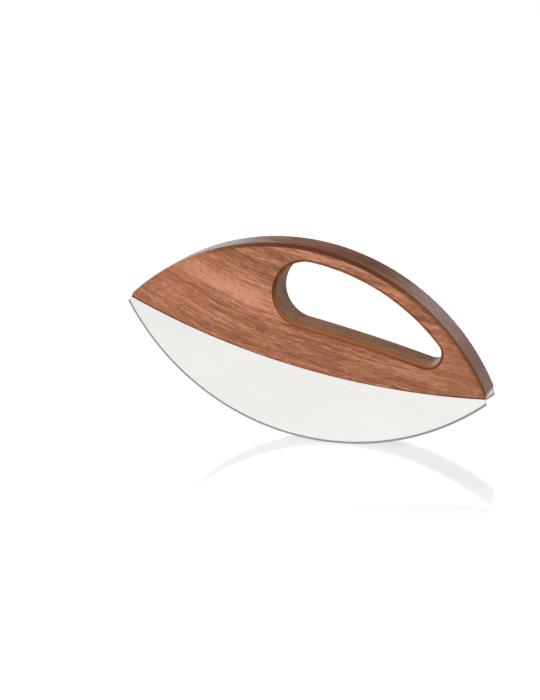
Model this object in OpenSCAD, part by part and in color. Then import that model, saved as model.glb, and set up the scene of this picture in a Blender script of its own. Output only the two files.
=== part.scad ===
// Twin-blade mezzaluna: a one-piece wooden handle between two parallel curved blades.
// Frame: X runs along the blades, +Z is up from the cutting edges to the grip, Y is the thickness.
// The origin lies under the middle of the object, at the lowest point of the cutting edges.
// Its outlines are arcs, each given by its chord and its rise or sag.

/* [Blades] */
// Length of each blade between the lower corners of its ends
blade_length = 240; // [220:1:260]
// Rise of the curved cutting edge from its lowest point to those corners
edge_rise = 55.8; // [50:0.2:62]
// Height of the blade's short ends, up to the border of the wood
end_height = 4; // [2.5:0.1:6]
// Lean of the short ends, from upright
end_lean = 27; // [15:1:35]
// Thickness of the blade steel
blade_thickness = 1.5; // [1.2:0.1:2]
// Width of the ground bevel on each side of the cutting edge
bevel_width = 1.6; // [1:0.1:3]
// Flat left at the very edge of the ground bevel
edge_land = 0.2; // [0.1:0.05:0.4]

/* [Handle] */
// Thickness of the handle across its two flat sides
handle_thickness = 25; // [22:0.5:30]
// Height of the top of the grip above the lowest point of the cutting edges
overall_height = 122.3; // [116:0.1:130]
// Sag of the wood's curved lower border, from its tips to mid-length
border_sag = 14.3; // [10:0.1:18]
// Distance of each blunt tip of the wood behind the lower corners of the blades
tip_inset = 2.1; // [1:0.1:6]
// Height of the blunt facet at each tip of the wood
tip_height = 2.2; // [1.5:0.1:5]
// Radius of the rounded edges of the wood
edge_round = 2; // [1:0.1:3]

/* [Finger opening] */
// Width of the grip bar between the outer curve and the opening, at mid-length
bar_width = 9.2; // [8:0.1:13]
// Radius of the opening's upper border, tighter than the outer curve's, so that the bar gets wider
// towards its ends
upper_radius = 131.2; // [128:0.2:135]
// Distance of the opening's left round end from mid-length
left_end_x = -5.3; // [-12:0.1:0]
// Radius of the opening's left round end
left_end_radius = 20.4; // [17:0.1:21]
// Distance of the opening's right round end from mid-length
right_end_x = 76.9; // [66:0.1:78]
// Radius of the opening's right round end
right_end_radius = 8.5; // [7:0.1:10.5]
// Radius of the faint arch that the opening has for its lower border
arch_radius = 1100; // [600:50:1600]

/* [Blade seats] */
// Drop of the tongue between the blades below the border of the wood
tongue_drop = 14; // [12:0.5:18]
// Depth of blade left free between the tongue and the cutting edge near the tips
tongue_setback = 12; // [10:0.5:16]
// Recess of each blade's outer face behind the flat side of the handle
blade_recess = 0.2; // [0:0.05:0.4]
// Hairline gap between the top edge of a blade and the wood above it, at mid-length
border_gap = 0.25; // [0.1:0.05:0.6]
// The same gap at the tips of the wood
tip_gap = 0.6; // [0.3:0.05:0.8]

/* [Studs] */
// Distance of the outermost studs from the ends of the blades
stud_inset = 50; // [48:1:70]
// Diameter of a stud's shank
stud_diameter = 5; // [4:0.1:5.5]
// Length of a stud from the blade to its end
stud_length = 7; // [6:0.1:8]
// Diameter of the weld flange at the foot of a stud
flange_diameter = 7; // [6.2:0.1:7.6]
// Height of the weld flange
flange_height = 0.8; // [0.6:0.1:1.2]
// Depth of the glue grooves round a stud
groove_depth = 0.3; // [0.2:0.05:0.4]
// Width of each glue groove
groove_width = 0.8; // [0.6:0.05:1]
// Clearance round and behind a stud in its blind hole
stud_clearance = 0.2; // [0.1:0.05:0.3]

/* [Hidden] */
$fn = 360;

// Room by which a cutter runs past what it cuts
over = 2;

// Radius of an arc from half of its chord and its rise
function arc_radius(half_chord, rise) = (half_chord * half_chord + rise * rise) / (2 * rise);

// Half lengths of the blades and of the wood
blade_half = blade_length / 2;
wood_half = blade_half - tip_inset;

// Cutting edge, with its centre above it
edge_radius = arc_radius(blade_half, edge_rise);
edge_centre_z = edge_radius;

// Lower border of the wood, with its centre above it
tip_z = edge_rise + end_height;
border_radius = arc_radius(wood_half, border_sag);
border_centre_z = tip_z - border_sag + border_radius;

// Outer curve of the grip, with its centre below it
grip_radius = arc_radius(wood_half, overall_height - tip_z - tip_height);
grip_centre_z = overall_height - grip_radius;

// Top edge of the blades, which falls away from the border towards the tips
blade_top_radius = arc_radius(wood_half, border_sag + border_gap - tip_gap);
blade_top_centre_z = tip_z - border_sag - border_gap + blade_top_radius;

// Faces across the thickness
face_y = handle_thickness / 2;
blade_outer_y = face_y - blade_recess;
blade_inner_y = blade_outer_y - blade_thickness;

// Centres of the grip's outer curve and of the opening's upper border
grip_centre = [0, grip_centre_z];
upper_centre = [0, overall_height - bar_width - upper_radius];

function unit(v) = v / norm(v);

// Centre of a round end of radius r at x, tangent to the opening's upper border from inside
function end_centre(x, r) =
    [x, upper_centre[1] + sqrt((upper_radius - r) * (upper_radius - r) - x * x)];
left_centre = end_centre(left_end_x, left_end_radius);
right_centre = end_centre(right_end_x, right_end_radius);

// Centre of the lower border's arch, which is tangent to both round ends from below
arch_span = norm(right_centre - left_centre);
arch_left = arch_radius + left_end_radius;
arch_right = arch_radius + right_end_radius;
arch_along = (arch_left * arch_left - arch_right * arch_right + arch_span * arch_span)
    / (2 * arch_span);
arch_away = sqrt(arch_left * arch_left - arch_along * arch_along);
end_line = unit(right_centre - left_centre);
arch_centre = left_centre + arch_along * end_line + arch_away * [end_line[1], -end_line[0]];

// The round ends are cut this little deeper than the borders they run into, which keeps the
// seam between them a real edge
end_step = 0.05;

// Heights, at x along the blade, of the border of the wood and of the tongue's lower end
function low_arc_z(centre_z, r, x) = centre_z - sqrt(r * r - x * x);
function border_z(x) = low_arc_z(border_centre_z, border_radius, x);
function tongue_z(x) = max(
    low_arc_z(border_centre_z, border_radius + tongue_drop, x),
    low_arc_z(edge_centre_z, edge_radius - tongue_setback, x));

// Studs stand evenly along each blade, half-way down the tongue
stud_count = 5;
stud_pitch = 2 * (blade_half - stud_inset) / (stud_count - 1);
function stud_x(i) = (i - (stud_count + 1) / 2) * stud_pitch;
function stud_z(i) = (border_z(stud_x(i)) + tongue_z(stud_x(i))) / 2;

// Turns a shape drawn in the XY plane upright, so that its Y becomes Z and its thickness runs
// along Y, centred on the middle plane
module upright() {
    rotate([90, 0, 0]) children();
}

// Flat disc of radius r about a centre in the XZ plane
module disc(centre, r, thickness) {
    upright() translate([centre[0], centre[1], -thickness / 2]) cylinder(r = r, h = thickness);
}

// Half section of a disc whose two rims are rounded outwards
module rounded_section(r, thickness, fillet) {
    translate([0, -thickness / 2]) square([r - fillet, thickness]);
    translate([0, -thickness / 2 + fillet]) square([r, thickness - 2 * fillet]);
    for (side = [-1, 1])
        translate([r - fillet, side * (thickness / 2 - fillet)]) circle(r = fillet);
}

// Disc with rounded rims about a centre in the XZ plane
module rounded_disc(centre, r, thickness, fillet) {
    upright() translate([centre[0], centre[1], 0])
        rotate_extrude() intersection() {
            rounded_section(r, thickness, fillet);
            translate([0, -thickness]) square([r + over, 2 * thickness]);
        }
}

// Half section of a cutter that leaves rounded rims on the hole it makes
module flared_section(r, thickness, fillet) {
    translate([0, -thickness / 2 - over]) square([r, thickness + 2 * over]);
    for (side = [-1, 1])
        scale([1, side]) difference() {
            translate([0, thickness / 2 - fillet]) square([r + fillet, fillet + over]);
            translate([r + fillet, thickness / 2 - fillet]) circle(r = fillet);
        }
}

// Flared cutter about a centre in the XZ plane
module flared_disc(centre, r, thickness, fillet) {
    upright() translate([centre[0], centre[1], 0])
        rotate_extrude() flared_section(r, thickness, fillet);
}

module handle() {
    color([0.62, 0.36, 0.24]) difference() {
        union() {
            grip_block();
            tongue();
        }
        finger_opening();
        stud_holes();
    }
}

// Lens between the outer curve of the grip and the border along the blades
module grip_block() {
    intersection() {
        rounded_disc(grip_centre, grip_radius, handle_thickness, edge_round);
        disc([0, border_centre_z], border_radius, handle_thickness + 2 * over);
        translate([-wood_half, -face_y - over, 0])
            cube([2 * wood_half, handle_thickness + 2 * over, overall_height + over]);
    }
}

// Tongue of the handle that goes down between the blades and carries them
module tongue() {
    intersection() {
        disc([0, border_centre_z], border_radius + tongue_drop, 2 * blade_inner_y);
        disc([0, edge_centre_z], edge_radius - tongue_setback, 2 * blade_inner_y);
        translate([-blade_half, -blade_inner_y - over, 0])
            cube([blade_length, 2 * blade_inner_y + 2 * over, tip_z]);
    }
}

// Region between the two round ends. Its sides follow the lines from each round end's centre to
// where that end meets the borders above and below, and leave the centre itself outside.
module between_ends() {
    towards_left = unit(left_centre - upper_centre);
    towards_right = unit(right_centre - upper_centre);
    below_left = unit(arch_centre - left_centre);
    below_right = unit(arch_centre - right_centre);
    up_reach = 1.15 * upper_radius;
    down_reach = edge_round + over;
    upright() linear_extrude(height = handle_thickness + 4 * over, center = true) polygon([
        left_centre + left_end_radius / 2 * end_line,
        left_centre + left_end_radius / 2 * towards_left,
        upper_centre + up_reach * towards_left,
        upper_centre + up_reach * towards_right,
        right_centre + right_end_radius / 2 * towards_right,
        right_centre - right_end_radius / 2 * end_line,
        right_centre + right_end_radius / 2 * below_right,
        right_centre + (right_end_radius + down_reach) * below_right,
        left_centre + (left_end_radius + down_reach) * below_left,
        left_centre + left_end_radius / 2 * below_left]);
}

// One round end of the finger opening, up to where it meets the borders above and below
module round_end(centre, r) {
    difference() {
        flared_disc(centre, r + end_step, handle_thickness, edge_round);
        between_ends();
    }
}

// Finger opening with rounded rims on both sides of the handle
module finger_opening() {
    round_end(left_centre, left_end_radius);
    round_end(right_centre, right_end_radius);
    difference() {
        intersection() {
            flared_disc(upper_centre, upper_radius, handle_thickness, edge_round);
            between_ends();
        }
        rounded_disc(arch_centre, arch_radius, handle_thickness, edge_round);
    }
}

// Cylinder along Y, from the inner face of a blade towards the middle plane; side is -1 for the
// front blade and 1 for the rear one
module from_blade(i, side, start, radius, height) {
    translate([stud_x(i), side * (blade_inner_y - start), stud_z(i)])
        rotate([side * 90, 0, 0]) cylinder(r = radius, h = height);
}

// Blind holes in both faces of the tongue for the studs of the blades
module stud_holes() {
    for (side = [-1, 1], i = [1 : stud_count]) {
        from_blade(i, side, -over, stud_diameter / 2 + stud_clearance,
            over + stud_length + stud_clearance);
        from_blade(i, side, -over, flange_diameter / 2 + stud_clearance,
            over + flange_height + stud_clearance);
    }
}

// Blade plate: a disc with a double bevel on its rim, cut by the border of the wood and by the
// two end facets. It is centred on the middle plane.
module blade_plate() {
    half = blade_thickness / 2;
    lean = tan(end_lean);
    low_z = -over;
    high_z = tip_z + over;
    low_half = blade_half + (edge_rise - low_z) * lean;
    high_half = blade_half - (high_z - edge_rise) * lean;
    difference() {
        intersection() {
            upright() translate([0, edge_centre_z, 0]) rotate_extrude()
                polygon([[0, -half], [edge_radius - bevel_width, -half],
                    [edge_radius, -edge_land / 2], [edge_radius, edge_land / 2],
                    [edge_radius - bevel_width, half], [0, half]]);
            upright() linear_extrude(height = blade_thickness + 2 * over, center = true)
                polygon([[-low_half, low_z], [low_half, low_z],
                    [high_half, high_z], [-high_half, high_z]]);
        }
        disc([0, blade_top_centre_z], blade_top_radius, blade_thickness + 2 * over);
    }
}

module front_blade() {
    color([0.80, 0.80, 0.79]) translate([0, -(blade_inner_y + blade_outer_y) / 2, 0])
        blade_plate();
}

module rear_blade() {
    color([0.80, 0.80, 0.79]) translate([0, (blade_inner_y + blade_outer_y) / 2, 0])
        blade_plate();
}

// Stud number i of one blade: a shank with a weld flange at its foot and two glue grooves
module stud(i, side) {
    free_length = stud_length - flange_height;
    color([0.66, 0.66, 0.65]) difference() {
        union() {
            from_blade(i, side, 0, flange_diameter / 2, flange_height);
            from_blade(i, side, 0, stud_diameter / 2, stud_length);
        }
        for (share = [1 / 3, 2 / 3])
            difference() {
                groove_start = flange_height + share * free_length - groove_width / 2;
                from_blade(i, side, groove_start, stud_diameter / 2 + over, groove_width);
                from_blade(i, side, groove_start - over, stud_diameter / 2 - groove_depth,
                    groove_width + 2 * over);
            }
    }
}

handle();
front_blade();
rear_blade();
stud(1, -1);  // front_blade_stud_1
stud(2, -1);  // front_blade_stud_2
stud(3, -1);  // front_blade_stud_3
stud(4, -1);  // front_blade_stud_4
stud(5, -1);  // front_blade_stud_5
stud(1, 1);  // rear_blade_stud_1
stud(2, 1);  // rear_blade_stud_2
stud(3, 1);  // rear_blade_stud_3
stud(4, 1);  // rear_blade_stud_4
stud(5, 1);  // rear_blade_stud_5
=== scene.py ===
"""Twin-blade mezzaluna: finishes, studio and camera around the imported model.

Lengths are in metres, in the frame of the part: X along the blades, Y across the thickness, Z up
from the cutting edges. The floor touches the cutting edges while the part is rocked towards its
right end, so the floor is a plane that leans in the part's frame, and the camera is given on it.

A smooth step such as WALL_DULLNESS is given by the two places that it runs between and then by
the value at each. Where only the places are given, the values are 0 and 1.
"""
import math

import bpy
import numpy as np
from mathutils import Matrix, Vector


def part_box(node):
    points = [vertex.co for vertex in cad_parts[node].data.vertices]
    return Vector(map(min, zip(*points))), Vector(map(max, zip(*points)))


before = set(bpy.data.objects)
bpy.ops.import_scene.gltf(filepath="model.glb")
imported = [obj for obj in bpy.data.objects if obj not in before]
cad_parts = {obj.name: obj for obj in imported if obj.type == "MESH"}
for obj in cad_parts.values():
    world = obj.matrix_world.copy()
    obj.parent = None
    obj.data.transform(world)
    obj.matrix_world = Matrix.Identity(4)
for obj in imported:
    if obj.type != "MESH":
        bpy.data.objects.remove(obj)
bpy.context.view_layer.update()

MM = 0.001

# Sizes that the part's source gives too. The grip's arc is taken down to the corners under the
# blunt tips of the wood, so at the tips it lies 2.2 mm lower than the real one.
BLADE_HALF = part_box("front_blade")[1].x
EDGE_RISE = 55.8 * MM
EDGE_RADIUS = (BLADE_HALF**2 + EDGE_RISE**2) / (2 * EDGE_RISE)
GRIP_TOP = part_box("handle")[1].z
WOOD_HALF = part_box("handle")[1].x
TIP_Z = EDGE_RISE + 4.0 * MM
GRIP_RADIUS = (WOOD_HALF**2 + (GRIP_TOP - TIP_Z)**2) / (2 * (GRIP_TOP - TIP_Z))
GRIP_CENTRE_Z = GRIP_TOP - GRIP_RADIUS
BORDER_SAG = 14.3 * MM
BORDER_RADIUS = (WOOD_HALF**2 + BORDER_SAG**2) / (2 * BORDER_SAG)
BORDER_CENTRE_Z = TIP_Z - BORDER_SAG + BORDER_RADIUS

# How the part stands: rocked about Y by this angle, towards its right end
LEAN = math.radians(13.319)
FLOOR_UP = np.array([-math.sin(LEAN), 0.0, math.cos(LEAN)])
FLOOR_RIGHT = np.array([math.cos(LEAN), 0.0, math.sin(LEAN)])
FLOOR_BACK = np.array([0.0, 1.0, 0.0])
CONTACT = np.array([0.0, 0.0, EDGE_RADIUS]) - EDGE_RADIUS * FLOOR_UP

# Camera, in the floor's directions
CAMERA_AZIMUTH = math.radians(19.086)
CAMERA_ELEVATION = math.radians(15.191)
CAMERA_ROLL = math.radians(-1.983)
CAMERA_DISTANCE = 1189.2 * MM
CAMERA_TARGET = CONTACT - 49.14 * MM * FLOOR_RIGHT + 55.07 * MM * FLOOR_UP
CAMERA_REACH = (0.01, 100)
PHOTO_LONG_SIDE = 700
FOCAL_PIXELS = 1869.1
SENSOR = 36.0

# Wood tones as linear colours, from the darkest streaks to the lightest, with their places on the
# scale of tones from 0 to 1
WOOD_TONES = (
    (0.08, (0.190, 0.062, 0.028, 1)),
    (0.34, (0.320, 0.104, 0.043, 1)),
    (0.60, (0.445, 0.152, 0.064, 1)),
    (1.00, (0.750, 0.338, 0.182, 1)),
)
MIDDLE_TONE = 0.58
PORE_TONE = (0.120, 0.040, 0.019, 1)
PORE_SHARE = 0.50
# Painted shade in the joint with the blades: near black on the tongue's sides, the shoulders and a
# hairline along the border
JOINT_SHADE = (0.012, 0.007, 0.005, 1)

# The rounded edges are darker and more orange than the flat sides, and inside the opening the
# orange on the side that looks up is painted light. The rim is darker than the sides and has
# another shade from RIM_RIGHT on, and the walls of the opening carry a painted grey sheen
EDGE_DARK = (0.120, 0.026, 0.005, 1)
EDGE_ORANGE = (0.560, 0.170, 0.020, 1)
EDGE_BROWN = (0.300, 0.075, 0.014, 1)
RIM_SHADE = (0.70, 0.64, 0.62, 1)
RIM_SHADE_RIGHT = (0.92, 0.69, 0.54, 1)
RIM_RIGHT = (60 * MM, 100 * MM)
# Painted grey sheen on the walls of the opening, and its share
WALL_SHEEN_TONE = (0.290, 0.205, 0.130, 1)
WALL_SHEEN_SHARE = 0.35

# How far inside the grip's arc the mask of the rim begins and is full
RIM_START = 4 * MM
RIM_FULL = 3 * MM

# Edges of the opening: where along X they turn from brown to dark next to the flat side. By the
# normal's upward part, where the orange of painted light takes over and how strong the colour is.
# By its sideways part, what counts as next to the flat side.
INNER_DARK = (38 * MM, 78 * MM)
INNER_UPWARD = (0.05, 0.30)
INNER_STRENGTH = (-0.35, -0.10, 0.30, 0.90)
NEAR_FACE = (0.45, 0.95)

# Edges of the rim: along X the share of orange in the dark, their strength at the left, and where
# they get thin. By the normal's sideways part, their strength where they are thin.
OUTER_ORANGE = (22 * MM, 80 * MM, 0.0, 0.30)
OUTER_LEFT = (-95 * MM, -30 * MM, 0.05, 0.95)
OUTER_THIN = (40 * MM, 90 * MM)
THIN_STRENGTH = (0.45, 0.92, 0.85, 0.22)

# The grain is level on the right and climbs towards the left end, and its layers are tilted
# through the thickness, so that they come out on the rim as long slanting lines
GRAIN_RISE = 0.4
GRAIN_TURN = 30 * MM
GRAIN_TILT = 0.8
DRIFT_HEIGHT = 7 * MM
RIPPLE_HEIGHT = 1.8 * MM

# Noises of the wood: cycles per metre along X, Y and the level, offsets, detail and roughness
DRIFT = ((16, 20, 30), (0, 0, 0), 2, 0.5)
RIPPLE = ((75, 90, 130), (3, 0, 5), 2, 0.5)
BANDS = ((7, 20, 80), (1.7, 0, 0), 3, 0.6)
STREAKS = ((11, 60, 330), (0, 0, 0), 4, 0.64)
GRAIN = ((95, 300, 1500), (0, 4, 0), 3, 0.7)
FIBRES = ((260, 3200, 3200), (0, 0, 0), 3, 0.65)
FLECKS = ((230, 420, 520), (0, 2, 0), 2, 0.6)
CURL = ((48, 30, 26), (0.4, 0, 0.2), 2, 0.5)
PORES = ((300, 2400, 2400), (7, 1, 3), 1, 0.5)
PORE_EDGES = (0.58, 0.70)

# How much each noise moves the tone. The wide ones are calmer towards both tips of the wood.
WIDE_FIGURE = ((BANDS, 1.10), (STREAKS, 1.20), (GRAIN, 1.90))
FIBRE_CONTRAST = 0.80
FLECK_CONTRAST = 0.45
CURL_CONTRAST = 0.35
CALM_LEFT = (-100 * MM, -50 * MM, 0.55, 1.0)
CALM_RIGHT = (75 * MM, 105 * MM, 1.0, 0.55)

# Streaks of the face in mm: middle along X, level above the grain lines, half length, half width,
# and how much lighter or darker they are
FACE_STREAKS = (
    (-45, 84.0, 60, 17, 0.16),
    (5, 114.0, 80, 10, 0.17),
    (-55, 77.0, 33, 2.8, 0.31),
    (-66, 66.4, 24, 1.3, -0.20),
    (-38, 67.6, 19, 3.0, -0.18),
    (-45, 51.5, 12, 3.2, -0.20),
    (-27, 109.7, 9, 2.2, -0.26),
    (-35, 95.0, 12, 2.4, -0.22),
    (-58, 61.5, 16, 1.2, -0.12),
    (20, 59.0, 27, 3.6, -0.20),
    (69, 55.0, 17, 2.4, -0.24),
    (70, 98.0, 12, 1.5, -0.22),
    (0, 49.2, 28, 2.2, 0.12),
    (-96, 53.0, 17, 7.0, 0.11),
    (-60, 66.9, 12, 0.3, 0.30),
)

# Distances from the middle plane that masks run between: from the tongue's sides to the flat
# sides, onto the shoulders over the blades, onto the flat sides, and onto the rounded edges
SIDE_DEPTHS = (11.8 * MM, 12.2 * MM, 1.0, 0.0)
SHOULDER_DEPTHS = (10.7 * MM, 10.9 * MM)
FLAT_DEPTHS = (12.3 * MM, 12.4 * MM)
ROUND_DEPTHS = (9.3 * MM, 10.8 * MM)

# Masks by the normal: its sideways part on the rim and the walls, on all but the flat sides and on
# the tongue's sides, and its upward part on the shoulders
UPRIGHT = (0.05, 0.25, 1.0, 0.0)
NOT_FLAT = (0.993, 0.9998, 1.0, 0.0)
SIDEWAYS = (0.90, 0.95)
DOWNWARD = (-0.92, -0.85, 1.0, 0.0)

# How far inside the border's arc its dark hairline of painted shade begins and is full, and how
# dark it is from left to right
HAIRLINE_START = 0.65 * MM
HAIRLINE_FULL = 0.25 * MM
HAIRLINE_LEFT = (-50 * MM, 0.0, 0.85, 0.35)
HAIRLINE_RIGHT = (60 * MM, 110 * MM, 0.0, 0.50)

# Roughness and relief of the wood
OILED_ROUGHNESS = 0.28
FIBRE_ROUGHNESS = 0.20
EDGE_ROUGHNESS = 0.90
WALL_DULLNESS = (70 * MM, 78 * MM, 0.25, -0.18)
RIM_POLISH = (-60 * MM, -5 * MM, 0.22, 0.0)
PORE_HEIGHT = -0.7
FIBRE_HEIGHT = 0.5
WOOD_RELIEF = 0.05 * MM
WOOD_BUMP = 0.5
WOOD_IOR = 1.5

# Steel: its colours, of which the ground bevels' colour is partly painted shade and the top edge's
# colour is painted shade, the normals where the ground bevels and the top edge begin, the scale of
# its fine lines along X, and the other noises of its brushing
STEEL_FACE = (0.92, 0.91, 0.885, 1)
# Darker ground bevels: partly their finish, partly painted shade for the darker surroundings they
# reflect
STEEL_GROUND_SHADED = (0.33, 0.32, 0.31, 1)
# Painted shade on the blade's top edge, which lies under the wood
STEEL_TOP_SHADE = (0.03, 0.028, 0.026, 1)
STUD_STEEL = (0.60, 0.60, 0.59, 1)
GROUND_NORMALS = (0.95, 0.99, 1.0, 0.0)
TOP_NORMALS = (0.85, 0.93)
BRUSH_ALONG = 90.0
BRUSH_BROAD = ((14, 1500, 1500), (0, 0, 0), 3, 0.7)
BRUSH_CLOUD = ((16, 16, 40), (0, 0, 0), 2, 0.5)
BRUSH_ROUGHNESS = 0.12
STEEL_RELIEF = 0.01 * MM
STEEL_BUMP = 0.3

# Floor: its own greys, how white it is near the blades and far away, the share of the mirror image
# in it and the distances where that fades out, and the level that metal sees near and far
WHITE = (1.0, 1.0, 1.0, 1)
FLOOR_REACH = 12.0
FLOOR_GREY = (0.5, 0.5, 0.5, 1)
FLOOR_SHADE = (0.15, 0.15, 0.15, 1)
FLOOR_WHITE = (0.10, 0.40, 0.96, 0.985)
MIRROR_SHARE = 0.27
MIRROR_NEAR = 40 * MM
MIRROR_FAR = 175 * MM
MIRRORED_FLOOR = (0.4, 1.2, 1.0, 0.6)

# Light of the studio's walls by the sine of the height angle, from the horizon to straight up
HORIZON_LEVELS = ((0.0, 0.95), (0.06, 0.85), (0.12, 0.55), (0.20, 0.25), (0.30, 0.12),
                  (0.60, 0.14), (1.0, 0.18))

# Softboxes: place to the right, back and up from the contact point, width, height and radiance.
# A large one in front on the left, a narrow one behind on the right, and a dimmer one behind on
# the left that lights the rear side.
SOFTBOXES = (
    ("front_softbox", (-0.50, -1.35, 1.20), 1.40, 1.10, 5.0),
    ("right_softbox", (0.40, 1.50, 0.46), 0.40, 0.45, 2.0),
    ("rear_softbox", (-1.10, 1.10, 0.70), 1.00, 0.80, 1.7),
)
SOFTBOX_AIM = (0.0, 0.0, 60 * MM)


def fill(tree, socket, value):
    """Links a socket to another one, or gives it a plain value."""
    if isinstance(value, bpy.types.NodeSocket):
        tree.links.new(value, socket)
    else:
        socket.default_value = value


def node(tree, kind, inputs=None, **settings):
    """Adds one shader node. inputs maps a socket's name or number to a value or to a socket."""
    made = tree.nodes.new(kind)
    for name, value in settings.items():
        setattr(made, name, value)
    for name, value in (inputs or {}).items():
        fill(tree, made.inputs[name], value)
    return made


def math_node(tree, operation, *values, clamp=False):
    """One Math node of numbers or sockets, and its output."""
    made = node(tree, "ShaderNodeMath", dict(enumerate(values)), operation=operation)
    made.use_clamp = clamp
    return made.outputs[0]


def product(tree, first, second):
    """first * second."""
    return math_node(tree, "MULTIPLY", first, second)


def step_between(tree, value, low, high, low_to=0.0, high_to=1.0):
    """Smooth step of a value, which is low_to up to low and high_to from high on."""
    made = node(tree, "ShaderNodeMapRange",
                {"Value": value, "From Min": low, "From Max": high,
                 "To Min": low_to, "To Max": high_to},
                interpolation_type="SMOOTHSTEP")
    return made.outputs[0]


def mix_colour(tree, share, first, second, blend="MIX"):
    """Mixes two colours by a share from 0 to 1."""
    made = node(tree, "ShaderNodeMix", data_type="RGBA", blend_type=blend, clamp_factor=True)
    values = {"Factor_Float": share, "A_Color": first, "B_Color": second}
    for socket in made.inputs:
        if socket.identifier in values:
            fill(tree, socket, values[socket.identifier])
    return next(s for s in made.outputs if s.identifier == "Result_Color")


def mix_value(tree, share, first, second):
    """Mixes two values by a share from 0 to 1."""
    made = node(tree, "ShaderNodeMix", clamp_factor=True)
    for name, value in (("Factor", share), ("A", first), ("B", second)):
        fill(tree, next(i for i in made.inputs if i.name == name and i.type == "VALUE"), value)
    return made.outputs[0]


def vector_of(tree, x, y, z):
    """Vector of three values."""
    return node(tree, "ShaderNodeCombineXYZ", {0: x, 1: y, 2: z}).outputs[0]


def noise(tree, vector, detail, roughness):
    """Value from 0 to 1 of a noise texture at a vector that already has its scale."""
    return node(tree, "ShaderNodeTexNoise", {"Vector": vector, "Scale": 1.0, "Detail": detail,
                                             "Roughness": roughness}).outputs[0]


def stretched_noise(tree, x, y, z, kind):
    """Noise of three coordinates, each times its own scale and moved by an offset."""
    scales, offsets, detail, roughness = kind
    parts = [math_node(tree, "MULTIPLY_ADD", value, scale, offset)
             for value, scale, offset in zip((x, y, z), scales, offsets)]
    return noise(tree, vector_of(tree, *parts), detail, roughness)


def add_centred(tree, total, value, strength):
    """total + strength * (value - 0.5)."""
    return math_node(tree, "ADD", total,
                     math_node(tree, "MULTIPLY_ADD", value, strength, -strength / 2))


def new_group(name, inputs, outputs):
    """Shader node group with named number sockets, and its input and output nodes."""
    tree = bpy.data.node_groups.new(name, "ShaderNodeTree")
    for label, value in inputs:
        socket = tree.interface.new_socket(label, in_out="INPUT", socket_type="NodeSocketFloat")
        socket.default_value = value
    for label in outputs:
        tree.interface.new_socket(label, in_out="OUTPUT", socket_type="NodeSocketFloat")
    return tree, tree.nodes.new("NodeGroupInput"), tree.nodes.new("NodeGroupOutput")


def new_material(name):
    """Material with a Principled BSDF on its output, its tree, that shader and the output."""
    material = bpy.data.materials.new(name)
    material.use_nodes = True
    tree = material.node_tree
    tree.nodes.clear()
    output = tree.nodes.new("ShaderNodeOutputMaterial")
    shader = tree.nodes.new("ShaderNodeBsdfPrincipled")
    tree.links.new(shader.outputs[0], output.inputs["Surface"])
    return material, tree, shader, output


def object_coordinates(tree):
    """X, Y and Z of a point, and X, Y and Z of the surface's normal, in the part's frame."""
    texture = tree.nodes.new("ShaderNodeTexCoord")
    place = node(tree, "ShaderNodeSeparateXYZ", {0: texture.outputs["Object"]})
    normal = node(tree, "ShaderNodeSeparateXYZ", {0: texture.outputs["Normal"]})
    return list(place.outputs), list(normal.outputs)


def streak_mark(tree, x, level, place):
    """Soft oval streak: strength * exp(-(dx / half length)^2 - (dlevel / half width)^2)."""
    middle, height, half_length, half_width, strength = place
    along = math_node(tree, "MULTIPLY_ADD", x, 1 / (half_length * MM), -middle / half_length)
    over = math_node(tree, "MULTIPLY_ADD", level, 1 / (half_width * MM), -height / half_width)
    both = math_node(tree, "MULTIPLY_ADD", over, over, product(tree, along, along))
    return product(tree, math_node(tree, "EXPONENT", product(tree, both, -1.0)), strength)


def radius_from(tree, x, z, centre_z):
    """Distance in the XZ plane from a centre on the middle plane."""
    rise = math_node(tree, "SUBTRACT", z, centre_z)
    return math_node(tree, "SQRT",
                     math_node(tree, "MULTIPLY_ADD", rise, rise, product(tree, x, x)))


def outside_mask(tree, x, z):
    """1 on the outer rim and its rounded edges, 0 nearer to the middle of the grip's arc."""
    return step_between(tree, radius_from(tree, x, z, GRIP_CENTRE_Z),
                        GRIP_RADIUS - RIM_START, GRIP_RADIUS - RIM_FULL)


def joint_shade_mask(tree, x, z, nz, depth, flatness):
    """Painted shade of the joint with the blades: 1 on the tongue's sides, on the shoulders over
    the blades, and on a hairline of the flat sides along the border, which is faintest right of
    the middle."""
    sunk = product(tree, step_between(tree, flatness, *SIDEWAYS),
                   step_between(tree, depth, *SIDE_DEPTHS))
    shoulder = product(tree, step_between(tree, nz, *DOWNWARD),
                       step_between(tree, depth, *SHOULDER_DEPTHS))
    border = step_between(tree, radius_from(tree, x, z, BORDER_CENTRE_Z),
                          BORDER_RADIUS - HAIRLINE_START, BORDER_RADIUS - HAIRLINE_FULL)
    dark = math_node(tree, "ADD", step_between(tree, x, *HAIRLINE_LEFT),
                     step_between(tree, x, *HAIRLINE_RIGHT))
    border = product(tree, product(tree, border, dark),
                     step_between(tree, depth, *FLAT_DEPTHS))
    return math_node(tree, "MAXIMUM", math_node(tree, "MAXIMUM", sunk, shoulder), border)


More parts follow.
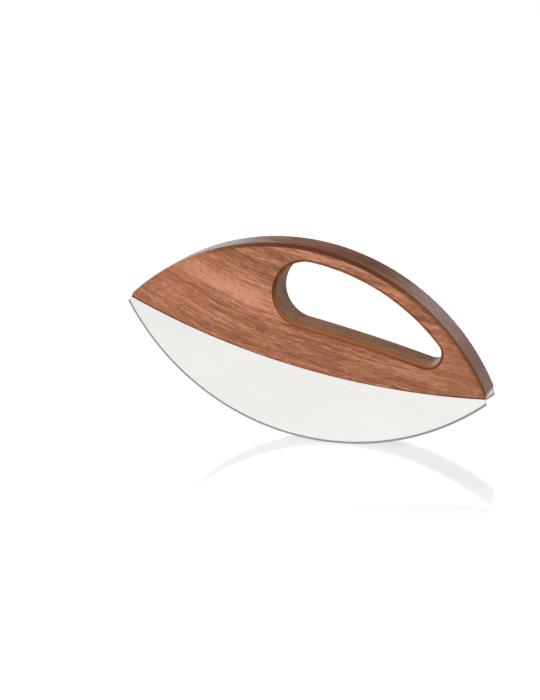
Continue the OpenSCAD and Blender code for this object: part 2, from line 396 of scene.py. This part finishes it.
def edge_tones(tree, x, nz, flatness, outside):
    """Colour of the oiled rounded edges, and the strength that it has there.

    Inside the opening it is orange on the side that looks up, which is painted light, with brown
    or dark wood next to the flat side, and brown to dark everywhere else, faintest under the grip
    bar. Outside it is dark at the top, browner and thinner towards the right, and missing at the
    left.
    """
    near_face = step_between(tree, flatness, *NEAR_FACE)
    brown = mix_colour(tree, step_between(tree, x, *INNER_DARK), EDGE_BROWN, EDGE_DARK)
    under = mix_colour(tree, near_face, EDGE_ORANGE, brown)
    beside = mix_colour(tree, near_face, EDGE_BROWN, EDGE_DARK)
    inner = mix_colour(tree, step_between(tree, nz, *INNER_UPWARD), beside, under)
    inner_strength = step_between(tree, nz, *INNER_STRENGTH)

    outer = mix_colour(tree, step_between(tree, x, *OUTER_ORANGE), EDGE_DARK, EDGE_ORANGE)
    thin = step_between(tree, flatness, *THIN_STRENGTH)
    right = mix_value(tree, step_between(tree, x, *OUTER_THIN), 1.0, thin)
    outer_strength = product(tree, step_between(tree, x, *OUTER_LEFT), right)
    return (mix_colour(tree, outside, inner, outer),
            mix_value(tree, outside, inner_strength, outer_strength))


def grain_level(tree, x, y, z):
    """Height above the grain lines: z - GRAIN_RISE * (sqrt(x^2 + GRAIN_TURN^2) - x)^2, moved up
    and down by a slow drift and then by a small ripple."""
    root = math_node(tree, "SQRT",
                     math_node(tree, "ADD", product(tree, x, x), GRAIN_TURN**2))
    turn = math_node(tree, "SUBTRACT", root, x)
    climb = product(tree, product(tree, turn, turn), -GRAIN_RISE)
    level = math_node(tree, "ADD", z, climb)
    for kind, height in ((DRIFT, DRIFT_HEIGHT), (RIPPLE, RIPPLE_HEIGHT)):
        level = add_centred(tree, level, stretched_noise(tree, x, y, level, kind), height)
    return level


def wood_tone(tree, x, y, z, level, fibres):
    """Tone from 0, darkest, to 1, lightest: the middle tone plus the wide figure in the tilted
    layers, calmer at both tips, the fine figure, and the streaks that have their own place."""
    layer = math_node(tree, "MULTIPLY_ADD", y, GRAIN_TILT, level)
    tone = 0.0
    for kind, strength in WIDE_FIGURE:
        tone = add_centred(tree, tone, stretched_noise(tree, x, y, layer, kind), strength)
    tone = product(tree, tone, step_between(tree, x, *CALM_LEFT))
    tone = product(tree, tone, step_between(tree, x, *CALM_RIGHT))
    tone = add_centred(tree, tone, fibres, FIBRE_CONTRAST)
    tone = add_centred(tree, tone, stretched_noise(tree, x, y, level, FLECKS), FLECK_CONTRAST)
    tone = add_centred(tree, tone, stretched_noise(tree, x, y, z, CURL), CURL_CONTRAST)
    for place in FACE_STREAKS:
        tone = math_node(tree, "ADD", tone, streak_mark(tree, x, level, place))
    return math_node(tree, "ADD", tone, MIDDLE_TONE, clamp=True)


def colour_ramp(tree, value, places):
    """Colour of a value from 0 to 1, by the places and colours of a ramp's stops."""
    ramp = node(tree, "ShaderNodeValToRGB", {"Fac": value})
    stops = ramp.color_ramp.elements
    stops[0].position, stops[0].color = places[0]
    stops[1].position, stops[1].color = places[-1]
    for position, colour in places[1:-1]:
        stops.new(position).color = colour
    return ramp.outputs[0]


def oiled_wood():
    """Reddish brown open-pored hardwood, oiled, with its grain along the handle.

    Bands, streaks, fibres and pores are noises stretched along the grain lines. Masks by place and
    by the surface's normal tell the rim, the opening's walls, the rounded edges and the joint. The
    walls get a painted sheen, the edges partly painted light, and the joint painted shade.
    """
    material, tree, shader, _ = new_material("oiled_wood")
    (x, y, z), (_, ny, nz) = object_coordinates(tree)
    depth = math_node(tree, "ABSOLUTE", y)
    flatness = math_node(tree, "ABSOLUTE", ny)
    level = grain_level(tree, x, y, z)
    fibres = stretched_noise(tree, x, y, level, FIBRES)
    pores = step_between(tree, stretched_noise(tree, x, y, level, PORES), *PORE_EDGES)

    outside = outside_mask(tree, x, z)
    upright = step_between(tree, flatness, *UPRIGHT)
    rim = product(tree, upright, outside)
    wall = product(tree, upright, math_node(tree, "SUBTRACT", 1.0, outside))
    rounded = product(tree, step_between(tree, depth, *ROUND_DEPTHS),
                      step_between(tree, flatness, *NOT_FLAT))

    colour = colour_ramp(tree, wood_tone(tree, x, y, z, level, fibres), WOOD_TONES)
    colour = mix_colour(tree, product(tree, pores, PORE_SHARE), colour, PORE_TONE)
    shade = mix_colour(tree, step_between(tree, x, *RIM_RIGHT), RIM_SHADE, RIM_SHADE_RIGHT)
    colour = mix_colour(tree, rim, colour, shade, blend="MULTIPLY")
    # Painted sheen: the opening's walls are mixed towards grey
    colour = mix_colour(tree, product(tree, wall, WALL_SHEEN_SHARE), colour, WALL_SHEEN_TONE)
    # Rounded edges: darker tones, with painted light in the orange where they look up inside the
    # opening
    edge_colour, strength = edge_tones(tree, x, nz, flatness, outside)
    colour = mix_colour(tree, product(tree, rounded, strength), colour, edge_colour)
    # Painted shade: the joint's gap and a hairline along it are coloured near black
    joint = joint_shade_mask(tree, x, z, nz, depth, flatness)
    colour = mix_colour(tree, joint, colour, JOINT_SHADE)
    tree.links.new(colour, shader.inputs["Base Color"])

    roughness = math_node(tree, "MULTIPLY_ADD", fibres, FIBRE_ROUGHNESS, OILED_ROUGHNESS)
    roughness = math_node(tree, "MULTIPLY_ADD", wall, step_between(tree, x, *WALL_DULLNESS),
                          roughness)
    polish = product(tree, rim, step_between(tree, x, *RIM_POLISH))
    roughness = math_node(tree, "SUBTRACT", roughness, polish)
    roughness = mix_value(tree, rounded, roughness, EDGE_ROUGHNESS)
    tree.links.new(roughness, shader.inputs["Roughness"])

    height = math_node(tree, "MULTIPLY_ADD", pores, PORE_HEIGHT,
                       product(tree, fibres, FIBRE_HEIGHT))
    bump = node(tree, "ShaderNodeBump",
                {"Height": height, "Distance": WOOD_RELIEF, "Strength": WOOD_BUMP})
    tree.links.new(bump.outputs[0], shader.inputs["Normal"])
    shader.inputs["IOR"].default_value = WOOD_IOR
    return material


def brush_lines():
    """Group for brushed steel: fine lines along X, broader ones, and a faint cloudiness.

    Tone is a factor near 1 for the colour, Roughness a value for the shader and Height the relief.
    """
    tree, entry, leave = new_group(
        "brush_lines",
        (("Lines per metre", 9000.0), ("Contrast", 0.04), ("Base roughness", 0.3)),
        ("Tone", "Roughness", "Height"))
    (x, y, z), _ = object_coordinates(tree)
    across = entry.outputs["Lines per metre"]
    vector = vector_of(tree, product(tree, x, BRUSH_ALONG), product(tree, y, across),
                       product(tree, z, across))
    fine = noise(tree, vector, detail=2, roughness=0.6)
    uneven = 0.0
    for value in (fine, stretched_noise(tree, x, y, z, BRUSH_CLOUD),
                  stretched_noise(tree, x, y, z, BRUSH_BROAD)):
        uneven = add_centred(tree, uneven, value, 1.0)
    tone = math_node(tree, "MULTIPLY_ADD", uneven, entry.outputs["Contrast"], 1.0)
    rough = math_node(tree, "MULTIPLY_ADD", fine, BRUSH_ROUGHNESS,
                      entry.outputs["Base roughness"])
    tree.links.new(tone, leave.inputs["Tone"])
    tree.links.new(rough, leave.inputs["Roughness"])
    tree.links.new(fine, leave.inputs["Height"])
    return tree


def steel(name, lines, face_colour, ground_shaded_colour, top_shade_colour, contrast, base_roughness):
    """Brushed steel. Faces that look along Y have the face's colour, the ground ones the other.
    That colour is darker, partly for their rougher ground finish and partly as painted shade for
    the darker surroundings they reflect. The edge that looks up into the joint with the wood is
    painted dark, as the shade of the wood above it.
    """
    material, tree, shader, _ = new_material(name)
    _, (_, ny, nz) = object_coordinates(tree)
    brushed = node(tree, "ShaderNodeGroup", node_tree=lines)
    brushed.inputs["Contrast"].default_value = contrast
    brushed.inputs["Base roughness"].default_value = base_roughness
    ground = step_between(tree, math_node(tree, "ABSOLUTE", ny), *GROUND_NORMALS)
    # Ground bevels darker: partly their finish, partly painted shade
    colour = mix_colour(tree, ground, face_colour, ground_shaded_colour)
    # Painted shade: the top edge under the wood is made dark
    colour = mix_colour(tree, step_between(tree, nz, *TOP_NORMALS), colour, top_shade_colour)
    tone = vector_of(tree, *[brushed.outputs["Tone"]] * 3)
    colour = mix_colour(tree, 1.0, colour, tone, blend="MULTIPLY")
    tree.links.new(colour, shader.inputs["Base Color"])
    tree.links.new(brushed.outputs["Roughness"], shader.inputs["Roughness"])
    bump = node(tree, "ShaderNodeBump", {"Height": brushed.outputs["Height"],
                                         "Distance": STEEL_RELIEF, "Strength": STEEL_BUMP})
    tree.links.new(bump.outputs[0], shader.inputs["Normal"])
    shader.inputs["Metallic"].default_value = 1.0
    return material


def dress(material, *names):
    """Gives CAD nodes a material in every slot."""
    for name in names:
        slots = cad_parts[name].data.materials
        slots.clear()
        slots.append(material)


def on_floor(right, back, up):
    """Point at distances from the contact point in the floor's directions."""
    return CONTACT + right * FLOOR_RIGHT + back * FLOOR_BACK + up * FLOOR_UP


def put_in_scene(name, data, place, right, up, back):
    """Camera or lamp of the given data at a place, with its own three axes along the given
    directions."""
    thing = bpy.data.objects.new(name, data)
    bpy.context.scene.collection.objects.link(thing)
    columns = np.stack([right, up, back, place], axis=1)
    thing.matrix_world = Matrix([*columns.tolist(), [0, 0, 0, 1]])
    return thing


def make_camera():
    """Camera at the photographed angle. Its axes are worked out in the floor's directions."""
    azimuth, elevation = CAMERA_AZIMUTH, CAMERA_ELEVATION
    back = (math.sin(azimuth) * math.cos(elevation) * FLOOR_RIGHT
            - math.cos(azimuth) * math.cos(elevation) * FLOOR_BACK
            + math.sin(elevation) * FLOOR_UP)
    level = math.cos(azimuth) * FLOOR_RIGHT + math.sin(azimuth) * FLOOR_BACK
    upward = np.cross(back, level)
    right = math.cos(CAMERA_ROLL) * level + math.sin(CAMERA_ROLL) * upward
    up = -math.sin(CAMERA_ROLL) * level + math.cos(CAMERA_ROLL) * upward
    data = bpy.data.cameras.new("camera")
    data.sensor_width = SENSOR
    data.lens = FOCAL_PIXELS * SENSOR / PHOTO_LONG_SIDE
    data.clip_start, data.clip_end = CAMERA_REACH
    bpy.context.scene.camera = put_in_scene(
        "camera", data, CAMERA_TARGET + CAMERA_DISTANCE * back, right, up, back)


def make_softbox(name, place, width, height, radiance):
    """Rectangular area light at a place, turned to the part. Its power is pi times its radiance
    times its area."""
    data = bpy.data.lights.new(name, "AREA")
    data.shape = "RECTANGLE"
    data.size, data.size_y = width, height
    data.energy = radiance * math.pi * width * height
    place = on_floor(*place)
    back = place - on_floor(*SOFTBOX_AIM)
    back = back / np.linalg.norm(back)
    side = np.cross(FLOOR_UP, back)
    side = side / np.linalg.norm(side)
    put_in_scene(name, data, place, side, np.cross(back, side), back)


def make_floor():
    """White floor. To the camera it shines white, with a faint mirror image near the blades and a
    faint shadow. To metal it is white too, to diffuse light a plain floor, and from below it
    isn't there."""
    corners = [on_floor(sx * FLOOR_REACH, sy * FLOOR_REACH, 0.0)
               for sx, sy in ((-1, -1), (1, -1), (1, 1), (-1, 1))]
    mesh = bpy.data.meshes.new("floor")
    mesh.from_pydata([tuple(c) for c in corners], [], [(0, 1, 2, 3)])
    floor = bpy.data.objects.new("floor", mesh)
    bpy.context.scene.collection.objects.link(floor)

    material, tree, shader, output = new_material("studio_floor")
    mesh.materials.append(material)
    shader.inputs["Base Color"].default_value = FLOOR_GREY
    shader.inputs["Roughness"].default_value = 1.0
    (x, y, z), _ = object_coordinates(tree)
    far = node(tree, "ShaderNodeVectorMath", {0: vector_of(tree, x, y, z)},
               operation="LENGTH").outputs["Value"]

    white = node(tree, "ShaderNodeEmission",
                 {"Color": WHITE, "Strength": step_between(tree, far, *FLOOR_WHITE)})
    mirror = node(tree, "ShaderNodeBsdfGlossy", {"Color": WHITE, "Roughness": 0.0})
    beside = step_between(tree, math_node(tree, "ABSOLUTE", y), MIRROR_NEAR, MIRROR_FAR,
                          MIRROR_SHARE, 0.0)
    beyond = step_between(tree, math_node(tree, "ABSOLUTE", x), BLADE_HALF,
                          BLADE_HALF + MIRROR_FAR, 1.0, 0.0)
    shine = node(tree, "ShaderNodeMixShader", {0: product(tree, beside, beyond),
                                               1: white.outputs[0], 2: mirror.outputs[0]})
    shade = node(tree, "ShaderNodeBsdfDiffuse", {"Color": FLOOR_SHADE})
    seen = node(tree, "ShaderNodeAddShader", {0: shine.outputs[0], 1: shade.outputs[0]})
    mirrored = node(tree, "ShaderNodeEmission",
                    {"Color": WHITE, "Strength": step_between(tree, far, *MIRRORED_FLOOR)})

    path = tree.nodes.new("ShaderNodeLightPath")
    glossy = math_node(tree, "MAXIMUM", path.outputs["Is Glossy Ray"],
                       path.outputs["Is Transmission Ray"])
    side = tree.nodes.new("ShaderNodeNewGeometry")
    clear = tree.nodes.new("ShaderNodeBsdfTransparent")
    surface = shader
    for share, other in ((glossy, mirrored), (path.outputs["Is Camera Ray"], seen),
                         (side.outputs["Backfacing"], clear)):
        surface = node(tree, "ShaderNodeMixShader",
                       {0: share, 1: surface.outputs[0], 2: other.outputs[0]})
    tree.links.new(surface.outputs[0], output.inputs["Surface"])


def make_world():
    """Studio with a pale horizon under dim walls and a dim ceiling. The camera and the floor's
    mirror image see white all over."""
    world = bpy.data.worlds.new("studio")
    bpy.context.scene.world = world
    world.use_nodes = True
    tree = world.node_tree
    tree.nodes.clear()
    direction = tree.nodes.new("ShaderNodeTexCoord").outputs["Generated"]
    height = node(tree, "ShaderNodeVectorMath", {0: direction, 1: tuple(FLOOR_UP)},
                  operation="DOT_PRODUCT").outputs["Value"]
    walls = colour_ramp(tree, height,
                        [(place, (level, level, level, 1)) for place, level in HORIZON_LEVELS])
    path = tree.nodes.new("ShaderNodeLightPath")
    white = math_node(tree, "MAXIMUM", path.outputs["Is Singular Ray"],
                      path.outputs["Is Camera Ray"])
    strength = math_node(tree, "MAXIMUM", white, walls)
    background = node(tree, "ShaderNodeBackground", {"Color": WHITE, "Strength": strength})
    output = tree.nodes.new("ShaderNodeOutputWorld")
    tree.links.new(background.outputs[0], output.inputs["Surface"])


lines = brush_lines()
dress(oiled_wood(), "handle")
dress(steel("satin_steel", lines, STEEL_FACE, STEEL_GROUND_SHADED, STEEL_TOP_SHADE,
            contrast=0.10, base_roughness=0.30),
      "front_blade", "rear_blade")
dress(steel("stud_steel", lines, STUD_STEEL, STUD_STEEL, STUD_STEEL,
            contrast=0.10, base_roughness=0.40),
      *[f"{side}_blade_stud_{i}" for side in ("front", "rear") for i in range(1, 6)])
make_camera()
make_floor()
make_world()
for softbox in SOFTBOXES:
    make_softbox(*softbox)
bpy.context.scene.view_settings.view_transform = "Standard"
